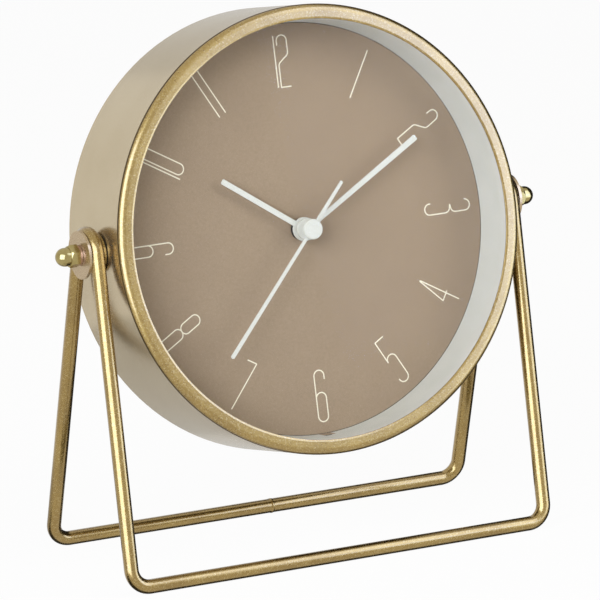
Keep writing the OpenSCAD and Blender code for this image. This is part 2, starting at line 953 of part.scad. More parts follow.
// Second hand with its tail, hub and cap
module second_hand() {
    front = dial_depth - second_rise;
    cap_front = front - cap_h;
    cap_round = cap_h / 2;
    root_w = second_w * 0.8;
    color(hand_white)
        in_case()
            rotate([0, 0, -second_angle])
                difference() {
                    union() {
                        slab(front, front + hand_t) {
                            polygon([
                                [-root_w / 2, 0], [root_w / 2, 0], [second_w / 2, second_len - second_w / 2],
                                [-second_w / 2, second_len - second_w / 2]
                            ]);
                            translate([0, second_len - second_w / 2])
                                circle(second_w / 2);
                            polygon([
                                [-second_w / 2, 0], [second_w / 2, 0], [root_w / 2, -tail_len], [-root_w / 2, -tail_len]
                            ]);
                        }
                        bar([0, 0], hub_r, front, dial_depth - minute_rise - 2 * hand_t);
                        turned([
                            [0, front + hand_t], [cap_r - cap_round / 2, front + hand_t], [cap_r, front],
                            [cap_r, cap_front + cap_round], [cap_r - cap_round / 4, cap_front + cap_round / 3],
                            [cap_r - cap_round, cap_front], [0, cap_front]
                        ]);
                    }
                    bar([0, 0], arbor_r + fit_gap, front - cap_h / 2, dial_depth);
                }
}

// Toothed disc between two depths, with one tooth at the given angle
module toothed(at, teeth, mate, distance, shape, angle, front, back) {
    translate([at[0], at[1], 0])
        rotate([0, 0, angle])
            slab(front, back)
                polygon(tooth_points(teeth, pitch_radius(distance, teeth, mate), shape));
}

// Tooth angles at rest, each from the wheel before it
inter_leaf_angle = mesh_angle(inter_dir, -second_angle, seconds_teeth, inter_leaves);
rotor_leaf_angle = mesh_angle(rotor_dir, inter_leaf_angle, inter_teeth, rotor_leaves);
third_teeth_angle = mesh_angle(third_dir, -second_angle, seconds_leaves, third_teeth);
centre_teeth_angle = mesh_angle(third_dir + half_turn, third_teeth_angle, third_leaves, centre_teeth);
motion_teeth_angle = mesh_angle(motion_dir, -minute_angle, cannon_leaves, motion_teeth);
hour_teeth_angle = mesh_angle(motion_dir + half_turn, motion_teeth_angle, motion_leaves, hour_teeth);
knob_leaf_angle = mesh_angle(knob_dir, motion_teeth_angle, motion_teeth, knob_leaves);

module hour_wheel() {
    color(brass)
        in_case()
            difference() {
                union() {
                    toothed([0, 0], hour_teeth, motion_leaves, motion_dist, wheel_tooth_share,
                        hour_teeth_angle, hour_layer, hour_layer + wheel_t);
                    bar([0, 0], hour_tube_r, dial_depth - hour_rise, hour_layer + wheel_t);
                }
                bar([0, 0], hour_bore_r, dial_depth - hour_rise - over, hour_layer + wheel_t + over);
            }
}

module cannon_pinion() {
    pinion_back = motion_layer + wheel_t + layer_gap;
    tube_back = centre_layer - 2 * layer_gap;
    flange_r = pitch_radius(motion_dist, cannon_leaves, motion_teeth) + layer_gap;
    color(brass)
        in_case()
            difference() {
                union() {
                    toothed([0, 0], cannon_leaves, motion_teeth, motion_dist, leaf_tooth_share,
                        -minute_angle, motion_layer - seat_gap, pinion_back);
                    bar([0, 0], cannon_r, dial_depth - minute_rise, tube_back);
                    bar([0, 0], flange_r, pinion_back, tube_back);
                }
                bar([0, 0], cannon_bore_r, dial_depth - minute_rise - over, tube_back + over);
            }
}

// Second hand's arbor with its wheel and pinion
module seconds_wheel() {
    color(brass)
        in_case() {
            toothed([0, 0], seconds_teeth, inter_leaves, inter_dist, wheel_tooth_share,
                -second_angle, seconds_layer, seconds_layer + wheel_t);
            toothed([0, 0], seconds_leaves, third_teeth, third_dist, leaf_tooth_share,
                -second_angle, third_layer - layer_gap, seconds_layer);
            bar([0, 0], arbor_r, dial_depth - second_rise - seat_gap, arbor_end);
        }
}

module third_wheel() {
    color(brass)
        in_case() {
            toothed(third_at, third_teeth, seconds_leaves, third_dist, wheel_tooth_share,
                third_teeth_angle, third_layer, third_layer + wheel_t);
            toothed(third_at, third_leaves, centre_teeth, third_dist, leaf_tooth_share,
                third_teeth_angle, centre_layer - seat_gap, third_layer);
            bar(third_at, arbor_r, train_front + layer_gap, arbor_end);
        }
}

// Wheel that drives the cannon pinion through a friction hub
module centre_wheel() {
    hub_front = centre_layer - 2 * layer_gap + seat_gap;
    color(brass)
        in_case()
            difference() {
                union() {
                    toothed([0, 0], centre_teeth, third_leaves, third_dist, wheel_tooth_share,
                        centre_teeth_angle, centre_layer, centre_layer + wheel_t);
                    bar([0, 0], cannon_r, hub_front, centre_layer + wheel_t);
                }
                bar([0, 0], cannon_bore_r, hub_front - over, centre_layer + wheel_t + over);
            }
}

module intermediate_wheel() {
    color(brass)
        in_case() {
            toothed(inter_at, inter_teeth, rotor_leaves, rotor_dist, wheel_tooth_share,
                inter_leaf_angle, inter_layer, inter_layer + wheel_t);
            toothed(inter_at, inter_leaves, seconds_teeth, inter_dist, leaf_tooth_share,
                inter_leaf_angle, seconds_layer - seat_gap, inter_layer);
            bar(inter_at, arbor_r, train_front + layer_gap, arbor_end);
        }
}

// Magnet of the stepping motor with its pinion
module rotor() {
    color("#5a5c60")
        in_case() {
            toothed(rotor_at, rotor_leaves, inter_teeth, rotor_dist, leaf_tooth_share,
                rotor_leaf_angle, inter_layer - layer_gap, inter_layer + wheel_t + layer_gap);
            bar(rotor_at, magnet_r, stator_mid - lamination_t, stator_mid + lamination_t);
            bar(rotor_at, arbor_r, train_front + layer_gap, arbor_end);
        }
}

module motion_wheel() {
    color(brass)
        in_case()
            difference() {
                union() {
                    toothed(motion_at, motion_teeth, cannon_leaves, motion_dist, wheel_tooth_share,
                        motion_teeth_angle, motion_layer, motion_layer + wheel_t);
                    toothed(motion_at, motion_leaves, hour_teeth, motion_dist, leaf_tooth_share,
                        motion_teeth_angle, hour_layer - seat_gap, motion_layer);
                }
                bar(motion_at, motion_post_r + play, train_front, motion_layer + wheel_t + over);
            }
}

// Moulded knob, shaft and pinion; the knob's edge is fluted for the finger
module setting_knob() {
    flutes = 18;
    knob_front = movement_back + 2 * seat_gap;
    knob_back = knob_front + 3 * shell_t;
    flute_r = knob_d / 26;
    color("#1b1c1e")
        in_case() {
            toothed(knob_at, knob_leaves, motion_teeth, motion_dist, leaf_tooth_share,
                knob_leaf_angle, motion_layer, motion_layer + 1.5 * wheel_t);
            bar(knob_at, knob_shaft_r, motion_layer + 1.5 * wheel_t - seat_gap, knob_front + seat_gap);
            bar(knob_at, arbor_r, train_front + layer_gap, motion_layer + seat_gap);
            slab(knob_front, knob_back)
                translate(knob_at)
                    difference() {
                        circle(d = knob_d);
                        for (i = [0 : flutes - 1])
                            translate(polar(knob_d / 2, i * 360 / flutes))
                                circle(flute_r, $fn = 24);
                    }
        }
}

stand_wire();
pivot_bush_left();
pivot_bush_right();
pivot_washer_left();
pivot_washer_right();
case_drum();
front_bezel();
front_lens();
spacer_ring();
dial();
dial_base();
rear_cover();
cover_screws();
pivot_bolt_left();
pivot_bolt_right();
spring_washer_left();
spring_washer_right();
dome_nut_left();
dome_nut_right();
movement_case();
movement_cover();
train_plate();
stator();
coil();
circuit_board();
battery();
contact_plus();
contact_minus();
hour_hand();
hour_wheel();
minute_hand();
cannon_pinion();
second_hand();
seconds_wheel();
third_wheel();
centre_wheel();
intermediate_wheel();
rotor();
motion_wheel();
setting_knob();
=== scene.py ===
"""Table clock on a bent-wire stand: finishes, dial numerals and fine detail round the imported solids."""

import json
import math

import bmesh
import bpy
from mathutils import Matrix, Vector


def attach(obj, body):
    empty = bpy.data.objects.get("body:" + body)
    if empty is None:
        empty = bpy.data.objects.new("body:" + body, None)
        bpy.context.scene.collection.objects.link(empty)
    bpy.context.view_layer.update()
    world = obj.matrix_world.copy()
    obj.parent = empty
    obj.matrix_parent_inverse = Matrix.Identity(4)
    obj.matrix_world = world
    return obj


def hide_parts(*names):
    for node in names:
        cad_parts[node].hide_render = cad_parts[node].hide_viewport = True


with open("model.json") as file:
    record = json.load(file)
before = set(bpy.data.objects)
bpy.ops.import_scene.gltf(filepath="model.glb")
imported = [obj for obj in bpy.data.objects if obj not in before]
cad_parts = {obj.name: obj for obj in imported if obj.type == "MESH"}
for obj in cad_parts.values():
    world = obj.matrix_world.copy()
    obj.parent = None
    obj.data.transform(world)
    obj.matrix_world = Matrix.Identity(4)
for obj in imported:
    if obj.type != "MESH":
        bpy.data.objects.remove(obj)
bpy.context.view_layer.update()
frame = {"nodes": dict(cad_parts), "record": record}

MM = 0.001
nodes = frame["nodes"]

# ---- Sizes repeated from the solids, in millimetres ----
TILT = math.radians(12.3)  # the case leans back
PIVOT_HEIGHT = 113.1
PIVOT_DEPTH = 17.8
PIVOT_RISE = 1.2  # how far the pivots are above the case's middle
CASE_R = 77.5
DIAL_DEPTH = 17.0
DIAL_TURN = 0.8  # degrees that the dial and its spacer ring are turned
WALL_LEAN = 0.7 / 13.3  # the spacer ring's wall opens by 0.7 from the dial to the glass

# Case coordinates: x to the right, y up the dial, z out of it, from the middle of the front ring's face.
CASE = (
    Matrix.Translation(Vector((0, 0, PIVOT_HEIGHT * MM)))
    @ Matrix.Rotation(-TILT, 4, "X")
    @ Matrix.Translation(Vector((0, -PIVOT_DEPTH * MM, -PIVOT_RISE * MM)))
    @ Matrix.Rotation(math.pi / 2, 4, "X")
    @ Matrix.Scale(MM, 4)
)


# ---- Materials ----
def linear(code):
    """An sRGB hex colour as linear RGBA."""
    channels = [int(code[i : i + 2], 16) / 255 for i in (1, 3, 5)]
    return (*(c / 12.92 if c <= 0.04045 else ((c + 0.055) / 1.055) ** 2.4 for c in channels), 1.0)


def give(tree, node, settings):
    """Settings for a node's sockets: a node or a socket is linked, and anything else is set on the socket.

    Sockets whose names repeat go by number: in a colour mix 0 is the amount, and 6 and 7 are the two colours."""
    for key, value in settings.items():
        if isinstance(value, bpy.types.Node):
            value = next(socket for socket in value.outputs if socket.enabled)
        if isinstance(value, bpy.types.NodeSocket):
            tree.links.new(value, node.inputs[key])
        else:
            node.inputs[key].default_value = value


def add(tree, kind, settings=None, **attributes):
    """Adds a node with its attributes, settings and links."""
    made = tree.nodes.new(kind)
    for name, value in attributes.items():
        setattr(made, name, value)
    give(tree, made, settings or {})
    return made


def new_material(name):
    """A material, its tree, its Principled shader and the piece's own coordinates in metres."""
    made = bpy.data.materials.new(name)
    made.use_nodes = True
    tree = made.node_tree
    place = add(tree, "ShaderNodeTexCoord").outputs["Object"]
    return made, tree, tree.nodes["Principled BSDF"], place


def per_mm(size):
    """A pattern's scale for marks of a size in millimetres."""
    return 1 / (size * MM)


def per_ring(size):
    """A wave's scale for ridges a size in millimetres apart."""
    return math.tau / 20 / (size * MM)


def drifting(tree, pattern, low, high, least=0.3, most=0.7):
    """A colour that goes from one hex colour to another as a pattern rises from least to most."""
    drift = add(tree, "ShaderNodeMapRange", {"Value": pattern, "From Min": least, "From Max": most})
    return add(tree, "ShaderNodeMix", {0: drift, 6: linear(low), 7: linear(high)}, data_type="RGBA")


MICA_SIZE = 0.32


def sprayed_gold(name, low, high, mica, rough, film):
    """Steel sprayed with gold mica lacquer: flakes glint under a clear film, in which lamps show nearly white.

    Mica is how far the painted glints and painted shade of the flakes stand out from the ground colour, and film is
    the film's refractive index."""
    made, tree, shader, place = new_material(name)
    clouds = add(tree, "ShaderNodeTexNoise", {"Vector": place, "Scale": per_mm(14), "Detail": 3.0})
    base = drifting(tree, clouds, low, high, 0.35, 0.65)
    flakes = add(tree, "ShaderNodeTexVoronoi", {"Vector": place, "Scale": per_mm(MICA_SIZE)})
    # Random flakes are painted pale, a painted glint, and others dark, painted shade, in the colour whatever the
    # light: tilt stands for how each flake lies.
    tilt = add(tree, "ShaderNodeSeparateColor", {"Color": flakes.outputs["Color"]})
    facing = add(tree, "ShaderNodeMapRange", {"Value": tilt, "From Min": 0.75, "From Max": 1.0, "To Max": mica})
    pale = add(tree, "ShaderNodeMix", {0: facing, 6: base, 7: linear("#DCC994")}, data_type="RGBA")
    flake_shade_share = add(
        tree,
        "ShaderNodeMapRange",
        {"Value": tilt, "From Min": 0.25, "From Max": 0.0, "To Max": 0.8 * mica},
    )
    glints_and_flake_shade = add(tree, "ShaderNodeMix", {0: flake_shade_share, 6: pale, 7: linear("#6B5020")}, data_type="RGBA")
    sheen = add(tree, "ShaderNodeMapRange", {"Value": tilt, "To Min": rough, "To Max": rough + 0.11})
    peel = add(tree, "ShaderNodeTexNoise", {"Vector": place, "Scale": per_mm(0.5), "Detail": 3.0})
    skin = add(tree, "ShaderNodeBump", {"Height": peel, "Distance": 0.004 * MM})
    give(tree, shader, {"Base Color": glints_and_flake_shade, "Roughness": sheen, "Normal": skin, "Metallic": 1.0})
    give(tree, shader, {"Coat Weight": 1.0, "Coat Roughness": rough * 0.7, "Coat IOR": film})
    return made


def turned_washer():
    """A turned steel washer in thin champagne lacquer: the tool's rings are drawn 0.5 mm apart so that they show."""
    made, tree, shader, place = new_material("lacquered_turned_washer")
    centred = add(tree, "ShaderNodeMapping", {"Vector": place, "Location": (0, 0, -PIVOT_HEIGHT * MM)})
    rings = add(
        tree,
        "ShaderNodeTexWave",
        {"Vector": centred, "Scale": per_ring(0.5), "Distortion": 0.6, "Detail": 2.0, "Detail Scale": 1.5},
        wave_type="RINGS",
        rings_direction="X",
    )
    base = add(tree, "ShaderNodeMix", {0: rings, 6: linear("#A88F6A"), 7: linear("#BCA580")}, data_type="RGBA")
    dust = add(tree, "ShaderNodeTexNoise", {"Vector": place, "Scale": per_mm(0.4), "Detail": 3.0})
    sheen = add(tree, "ShaderNodeMapRange", {"Value": dust, "To Min": 0.2, "To Max": 0.34})
    skin = add(tree, "ShaderNodeBump", {"Height": rings, "Distance": 0.01 * MM})
    give(tree, shader, {"Base Color": base, "Roughness": sheen, "Normal": skin})
    give(tree, shader, {"Metallic": 0.85, "Coat Weight": 0.3})
    return made


def satin_champagne():
    """Sheet steel in champagne pearl paint: fine pale pearl in a smooth satin coat."""
    made, tree, shader, place = new_material("satin_champagne_paint")
    clouds = add(tree, "ShaderNodeTexNoise", {"Vector": place, "Scale": per_mm(22), "Detail": 3.0})
    base = drifting(tree, clouds, "#BEAD8C", "#C5B595")
    pearl = add(tree, "ShaderNodeTexNoise", {"Vector": place, "Scale": per_mm(0.5), "Detail": 2.0})
    bright = add(tree, "ShaderNodeMapRange", {"Value": pearl, "From Min": 0.35, "From Max": 0.8, "To Max": 0.35})
    colour = add(tree, "ShaderNodeMix", {0: bright, 6: base, 7: linear("#D2C7AC")}, data_type="RGBA")
    sheen = add(
        tree,
        "ShaderNodeMapRange",
        {"Value": pearl, "From Min": 0.2, "From Max": 0.8, "To Min": 0.15, "To Max": 0.21},
    )
    peel = add(tree, "ShaderNodeTexNoise", {"Vector": place, "Scale": per_mm(1.6), "Detail": 2.0})
    skin = add(tree, "ShaderNodeBump", {"Height": peel, "Distance": 0.004 * MM})
    give(tree, shader, {"Base Color": colour, "Roughness": sheen, "Normal": skin, "Metallic": 0.9})
    return made


def float_glass():
    """Float glass, 2 mm thick: clear, seen only by a faint shine that grows where it is seen aslant."""
    made, tree, shader, place = new_material("clear_float_glass")
    tree.nodes.remove(shader)
    smear = add(tree, "ShaderNodeTexNoise", {"Vector": place, "Scale": per_mm(30), "Detail": 2.0})
    least = add(
        tree,
        "ShaderNodeMapRange",
        {"Value": smear, "From Min": 0.3, "From Max": 0.7, "To Min": 0.015, "To Max": 0.025},
    )
    aslant = add(tree, "ShaderNodeFresnel", {"IOR": 1.45})
    share = add(tree, "ShaderNodeMath", {0: aslant, 1: least}, operation="MULTIPLY")
    clear = add(tree, "ShaderNodeBsdfTransparent", {"Color": (0.985, 0.992, 0.99, 1)})
    shine = add(tree, "ShaderNodeBsdfGlossy", {"Color": (1, 1, 1, 1), "Roughness": 0.02})
    both = add(tree, "ShaderNodeMixShader", {0: share, 1: clear, 2: shine})
    give(tree, tree.nodes["Material Output"], {"Surface": both})
    return made


def moulded(name, low, high, rough, texture, depth):
    """A moulded plastic: texture is the size in millimetres of the mould's grain, and depth its height."""
    made, tree, shader, place = new_material(name)
    clouds = add(tree, "ShaderNodeTexNoise", {"Vector": place, "Scale": per_mm(9), "Detail": 3.0})
    base = drifting(tree, clouds, low, high)
    grain = add(tree, "ShaderNodeTexNoise", {"Vector": place, "Scale": per_mm(texture), "Detail": 3.0})
    sheen = add(
        tree,
        "ShaderNodeMapRange",
        {"Value": grain, "From Min": 0.25, "From Max": 0.75, "To Min": rough - 0.05, "To Max": rough + 0.07},
    )
    skin = add(tree, "ShaderNodeBump", {"Height": grain, "Distance": depth * MM})
    give(tree, shader, {"Base Color": base, "Roughness": sheen, "Normal": skin})
    give(tree, shader, {"IOR": 1.49, "Specular IOR Level": 0.4})
    return made


def printed_dial():
    """Coated card printed matt taupe: a very fine paper tooth, and the ink a shade uneven."""
    made, tree, shader, place = new_material("matt_taupe_print")
    uneven = {"Vector": place, "Scale": per_mm(18), "Detail": 4.0, "Roughness": 0.6}
    base = drifting(tree, add(tree, "ShaderNodeTexNoise", uneven), "#A18D7A", "#A6927E")
    fine = {"Vector": place, "Scale": per_mm(0.8), "Detail": 3.0, "Roughness": 0.7}
    tooth = add(tree, "ShaderNodeTexNoise", fine)
    hollow = add(tree, "ShaderNodeMapRange", {"Value": tooth, "From Min": 0.3, "From Max": 0.7, "To Max": 0.6})
    colour = add(tree, "ShaderNodeMix", {0: hollow, 6: base, 7: linear("#91806B")}, data_type="RGBA")
    skin = add(tree, "ShaderNodeBump", {"Height": tooth, "Distance": 0.012 * MM})
    give(tree, shader, {"Base Color": colour, "Roughness": 0.85, "Normal": skin, "Specular IOR Level": 0.25})
    return made


def hand_paint():
    """Thin aluminium hands in matt white paint, a little orange-peeled."""
    made, tree, shader, place = new_material("matt_white_hand_paint")
    peel = add(tree, "ShaderNodeTexNoise", {"Vector": place, "Scale": per_mm(0.6), "Detail": 2.0})
    base = drifting(tree, peel, "#DCDCD6", "#D3D3CD")
    skin = add(tree, "ShaderNodeBump", {"Height": peel, "Distance": 0.006 * MM})
    give(tree, shader, {"Base Color": base, "Roughness": 0.45, "Normal": skin, "Specular IOR Level": 0.4})
    return made


def numeral_ink():
    """Cream ink, screen printed: matt, and a hair uneven where the mesh of the screen let it through."""
    made, tree, shader, place = new_material("cream_screen_ink")
    mesh_marks = add(tree, "ShaderNodeTexNoise", {"Vector": place, "Scale": per_mm(0.3), "Detail": 2.0})
    base = drifting(tree, mesh_marks, "#F4EEDD", "#ECE4D0")
    skin = add(tree, "ShaderNodeBump", {"Height": mesh_marks, "Distance": 0.01 * MM})
    give(tree, shader, {"Base Color": base, "Roughness": 0.65, "Normal": skin})
    return made


def plain_metal(name, low, high, rough, marks):
    """A bare or plated metal, a little clouded. Marks is the spacing in millimetres of its rolling or turning
    marks, drawn coarse enough to show."""
    made, tree, shader, place = new_material(name)
    clouded = {"Vector": place, "Scale": per_mm(2.5), "Detail": 4.0, "Roughness": 0.6}
    bloom = add(tree, "ShaderNodeTexNoise", clouded)
    base = drifting(tree, bloom, low, high)
    sheen = add(
        tree,
        "ShaderNodeMapRange",
        {"Value": bloom, "From Min": 0.25, "From Max": 0.75, "To Min": rough, "To Max": rough + 0.08},
    )
    drawn = {"Vector": place, "Scale": per_mm(marks), "Detail": 4.0, "Roughness": 0.7}
    lines = add(tree, "ShaderNodeTexNoise", drawn)
    skin = add(tree, "ShaderNodeBump", {"Height": lines, "Distance": marks * 0.03 * MM})
    give(tree, shader, {"Base Color": base, "Roughness": sheen, "Normal": skin, "Metallic": 1.0})
    return made


def wound_copper():
    """Enamelled copper wire wound in layers: ridges side by side, drawn a third of a millimetre apart to show."""
    made, tree, shader, place = new_material("enamelled_copper_winding")
    turns = add(
        tree,
        "ShaderNodeTexWave",
        {"Vector": place, "Scale": per_ring(0.33), "Distortion": 0.4, "Detail": 1.0},
        bands_direction="X",
    )
    # The crowns of the turns are painted lighter and the grooves between them darker: painted highlight and painted
    # shade.
    base = add(tree, "ShaderNodeMix", {0: turns, 6: linear("#7A3415"), 7: linear("#C8743A")}, data_type="RGBA")
    skin = add(tree, "ShaderNodeBump", {"Height": turns, "Distance": 0.12 * MM})
    give(tree, shader, {"Base Color": base, "Roughness": 0.28, "Normal": skin})
    give(tree, shader, {"Metallic": 0.9, "Coat Weight": 0.4})
    return made


def solder_mask():
    """A phenolic board under green solder mask: glossy, with paler tracks under the film."""
    made, tree, shader, place = new_material("green_solder_mask")
    tracks = add(
        tree,
        "ShaderNodeTexBrick",
        {
            "Vector": place,
            "Scale": per_mm(5),
            "Mortar Size": 0.04,
            "Color1": linear("#1D5A34"),
            "Color2": linear("#226339"),
            "Mortar": linear("#3B7D4E"),
        },
    )
    skin = add(tree, "ShaderNodeBump", {"Height": tracks.outputs["Fac"], "Distance": 0.03 * MM})
    give(tree, shader, {"Base Color": tracks, "Roughness": 0.3, "Normal": skin})
    give(tree, shader, {"Coat Weight": 0.5, "Coat Roughness": 0.1})
    return made


def cell_film():
    """The cell's plastic film over its steel can: dark grey with a satin sheen and a faint lengthwise draw."""
    made, tree, shader, place = new_material("dark_cell_film")
    along = add(tree, "ShaderNodeMapping", {"Vector": place, "Scale": (0.1, 1, 1)})
    draw = add(tree, "ShaderNodeTexNoise", {"Vector": along, "Scale": per_mm(0.8), "Detail": 3.0})
    base = drifting(tree, draw, "#3C4046", "#4A4F56")
    skin = add(tree, "ShaderNodeBump", {"Height": draw, "Distance": 0.004 * MM})
    give(tree, shader, {"Base Color": base, "Roughness": 0.35, "Normal": skin, "Metallic": 0.5})
    return made


gold = sprayed_gold("smooth_gold_lacquer", "#94783C", "#A08444", mica=0.28, rough=0.19, film=1.48)
coarse_gold = sprayed_gold("coarse_gold_lacquer", "#977A35", "#A3853C", mica=0.34, rough=0.27, film=1.68)
champagne = satin_champagne()
white_paint = hand_paint()
black_abs = moulded("grained_black_abs", "#242528", "#2C2E31", rough=0.42, texture=0.35, depth=0.02)
zinc = plain_metal("bright_zinc_plate", "#B4B8BC", "#C2C5C8", rough=0.26, marks=0.3)
white_ps = moulded("matt_white_polystyrene", "#C9C9C3", "#CFCEC8", rough=0.5, texture=0.7, depth=0.004)
finish = {
    "gold_paint": gold,
    "champagne_paint": champagne,
    "clear_glass": float_glass(),
    "white_plastic": white_ps,
    "dial_print": printed_dial(),
    "black_plastic": black_abs,
    "white_paint": white_paint,
    "zinc_steel": zinc,
    "spring_steel": plain_metal("pinkish_spring_steel", "#BFA393", "#D3B8A8", rough=0.16, marks=0.3),
    "gold_brass": plain_metal("polished_pale_brass", "#A08F5C", "#B3A36D", rough=0.1, marks=0.6),
    "wheel_brass": plain_metal("stamped_wheel_brass", "#B9964A", "#C7A559", rough=0.24, marks=0.25),
    "copper_wire": wound_copper(),
    "core_steel": plain_metal("soft_iron_sheet", "#62666A", "#6E7276", rough=0.42, marks=0.4),
    "board_green": solder_mask(),
    "cell_wrap": cell_film(),
    "magnet_grey": plain_metal("sintered_magnet", "#4A4B4E", "#55565A", rough=0.5, marks=0.3),
}
turned = turned_washer()

for part in frame["record"]["subparts"]:
    is_washer = part["node"].startswith("pivot_washer")
    piece = nodes[part["node"]]
    piece.data.materials.clear()
    piece.data.materials.append(turned if is_washer else finish[part["material_slot"]])


# ---- Smooth shading of the solids, without touching their meshes ----
SMOOTH_BELOW = math.radians(32)  # an edge that turns by less than this is shaded smooth
JOIN_WITHIN = 1e-7  # in metres


def rounding_modifier():
    """Joins the loose triangles and shades smooth across every edge that isn't sharp."""
    group = bpy.data.node_groups.new("join_and_shade", "GeometryNodeTree")
    for way in ("INPUT", "OUTPUT"):
        group.interface.new_socket("Geometry", in_out=way, socket_type="NodeSocketGeometry")
    start = add(group, "NodeGroupInput")
    join = add(group, "GeometryNodeMergeByDistance", {"Geometry": start, "Distance": JOIN_WITHIN})
    angle = add(group, "GeometryNodeInputMeshEdgeAngle").outputs["Unsigned Angle"]
    low = add(group, "FunctionNodeCompare", {0: angle, 1: SMOOTH_BELOW}, data_type="FLOAT", operation="LESS_THAN")
    faces = add(group, "GeometryNodeSetShadeSmooth", {"Geometry": join, "Shade Smooth": True}, domain="FACE")
    edges = add(group, "GeometryNodeSetShadeSmooth", {"Geometry": faces, "Shade Smooth": low}, domain="EDGE")
    add(group, "NodeGroupOutput", {0: edges})
    return group


shade = rounding_modifier()


def shaded(piece):
    """Smooth shading led by a piece's large faces, so that a small bevel or weld bead doesn't bend the light
    on its neighbours."""
    piece.modifiers.new("join_and_shade", "NODES").node_group = shade
    lean = piece.modifiers.new("large_faces_lead", "WEIGHTED_NORMAL")
    lean.mode = "FACE_AREA_WITH_ANGLE"
    lean.keep_sharp = True


for piece in nodes.values():
    shaded(piece)

WORN = 0.25  # how wide the edges of the dome nuts are worn
for side in ("left", "right"):
    nut = nodes[f"dome_nut_{side}"]
    worn = nut.modifiers.new("worn_edges", "BEVEL")
    worn.width = WORN * MM
    worn.segments = 2
    worn.limit_method = "ANGLE"
    worn.angle_limit = math.radians(40)
    nut.modifiers.move(2, 1)  # after the joining, before the large faces lead


# ---- New pieces ----
def placed(name, data):
    """A new object in the scene."""
    made = bpy.data.objects.new(name, data)
    bpy.context.scene.collection.objects.link(made)
    return made


def mesh_of(shape, name):
    """A mesh from a bmesh, which is used up."""
    mesh = bpy.data.meshes.new(name)
    shape.to_mesh(mesh)
    shape.free()
    return mesh


def finished(mesh, name, body, material):
    """A smooth piece at the origin from its mesh, riding on its body."""
    mesh.name = name
    for face in mesh.polygons:
        face.use_smooth = True
    mesh.materials.append(material)
    made = placed(name, mesh)
    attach(made, body)
    return made


def case_piece(shape, name, material):
    """A piece of the case from a bmesh in case coordinates."""
    bmesh.ops.transform(shape, matrix=CASE, verts=shape.verts[:])
    made = finished(mesh_of(shape, name), name, "case", material)
    shaded(made)
    return made


# ---- Thin rings turned about the case's own axis ----
RING_STEPS = 240


def ring_piece(name, profile, material):
    """A ring spun from its closed section, with corners (radius, depth) in millimetres, depth from the front."""
    shape = bmesh.new()
    corners = [shape.verts.new((r, 0, -depth)) for r, depth in profile]
    for a, b in zip(corners, corners[1:] + corners[:1]):
        shape.edges.new((a, b))
    bmesh.ops.spin(
        shape,
        geom=shape.verts[:] + shape.edges[:],
        cent=(0, 0, 0),
        axis=(0, 0, 1),
        angle=math.tau,
        steps=RING_STEPS,
        use_merge=True,
    )
    bmesh.ops.recalc_face_normals(shape, faces=shape.faces[:])
    return case_piece(shape, name, material)


def square_section(inner, outer, front, back):
    """A ring's section with four corners."""
    return [(inner, front), (outer, front), (outer, back), (inner, back)]


# The front ring's hole, thickness and skirt are the solid's, and its rim reaches 0.4 further out.
HOLE_R, RING_R, RING_T = 72.4, 77.4, 1.6
ROUND_R = 2.3  # how far in from the rim it starts to round over
SKIRT_IN, SKIRT_OUT, SKIRT_BACK = 75.4, 76.4, 4.6
LIP_W, LIP_FALL = 0.65, 0.15  # its inner lip slopes in at 13 degrees, so it catches another light than the face
NOSE_W, NOSE_H = 0.05, 0.06  # the lip's inner edge is blunt
HUG = 0.08  # an extra corner this close to a bend keeps the face by it flat
SLOPE_HUG_W, SLOPE_HUG_FALL = 0.12, LIP_FALL * 0.87  # the same on the lip's slope
SEAT = 0.02  # a hair, so that two surfaces don't lie in one plane
QUARTER = [math.radians(a) for a in range(0, 91, 6)]
front_ring = ring_piece(
    "front_ring",
    [
        (HOLE_R, RING_T),
        (HOLE_R, LIP_FALL + NOSE_H),
        (HOLE_R + NOSE_W, LIP_FALL),
        (HOLE_R + SLOPE_HUG_W, SLOPE_HUG_FALL),
        (HOLE_R + LIP_W, 0),
        (HOLE_R + LIP_W + HUG, 0),
        (RING_R - ROUND_R - HUG, 0),
        *((RING_R - ROUND_R + ROUND_R * math.sin(a), RING_T * (1 - math.cos(a))) for a in QUARTER),
        (SKIRT_OUT, RING_T + SEAT),
        (SKIRT_OUT, SKIRT_BACK),
        (SKIRT_IN, SKIRT_BACK),
        (SKIRT_IN, RING_T),
    ],
    coarse_gold,
)
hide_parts("front_bezel")

# The white rim that shows past the glass is a thin wedge inside the ring's hole, thicker at its back.
RIM_FRONT, RIM_BACK = 0.6, 3.85
RIM_OUT, RIM_THIN, RIM_THICK = 0.01, 0.03, 0.25  # in from the hole: its outer wall, and its front and back
ring_piece(
    "glass_rim",
    [
        (HOLE_R - RIM_THIN, RIM_FRONT),
        (HOLE_R - RIM_THICK, RIM_BACK),
        (HOLE_R - RIM_OUT, RIM_BACK),
        (HOLE_R - RIM_OUT, RIM_FRONT),
    ],
    white_ps,
)

# The seam between the front ring and the drum is dark, because little light gets in. A thin dark ring that stands a
# little proud of the drum draws it as painted shade.
SEAM_IN, SEAM_PROUD = 76.6, 0.08
SEAM_BACK = 2.18
seam = moulded("painted_seam_shade", "#3A2B0C", "#463512", rough=0.6, texture=0.5, depth=0.01)
seam_section = square_section(SEAM_IN, CASE_R + SEAM_PROUD, RING_T + SEAT, SEAM_BACK)
ring_piece("seam_shade_ring", seam_section, seam)

# The dial's edge is a line of painted shade where the card meets the spacer ring's wall.
WALL_R = 71.63  # just inside that wall's surface, at the dial
EDGE_W, EDGE_PROUD, EDGE_SUNK = 0.21, 0.04, 0.02
card_edge_shade = moulded("painted_card_edge_shade", "#4B4238", "#554B40", rough=0.7, texture=0.5, depth=0.01)
edge_section = square_section(WALL_R - EDGE_W, WALL_R, DIAL_DEPTH - EDGE_PROUD, DIAL_DEPTH + EDGE_SUNK)
ring_piece("dial_edge_shade", edge_section, card_edge_shade)

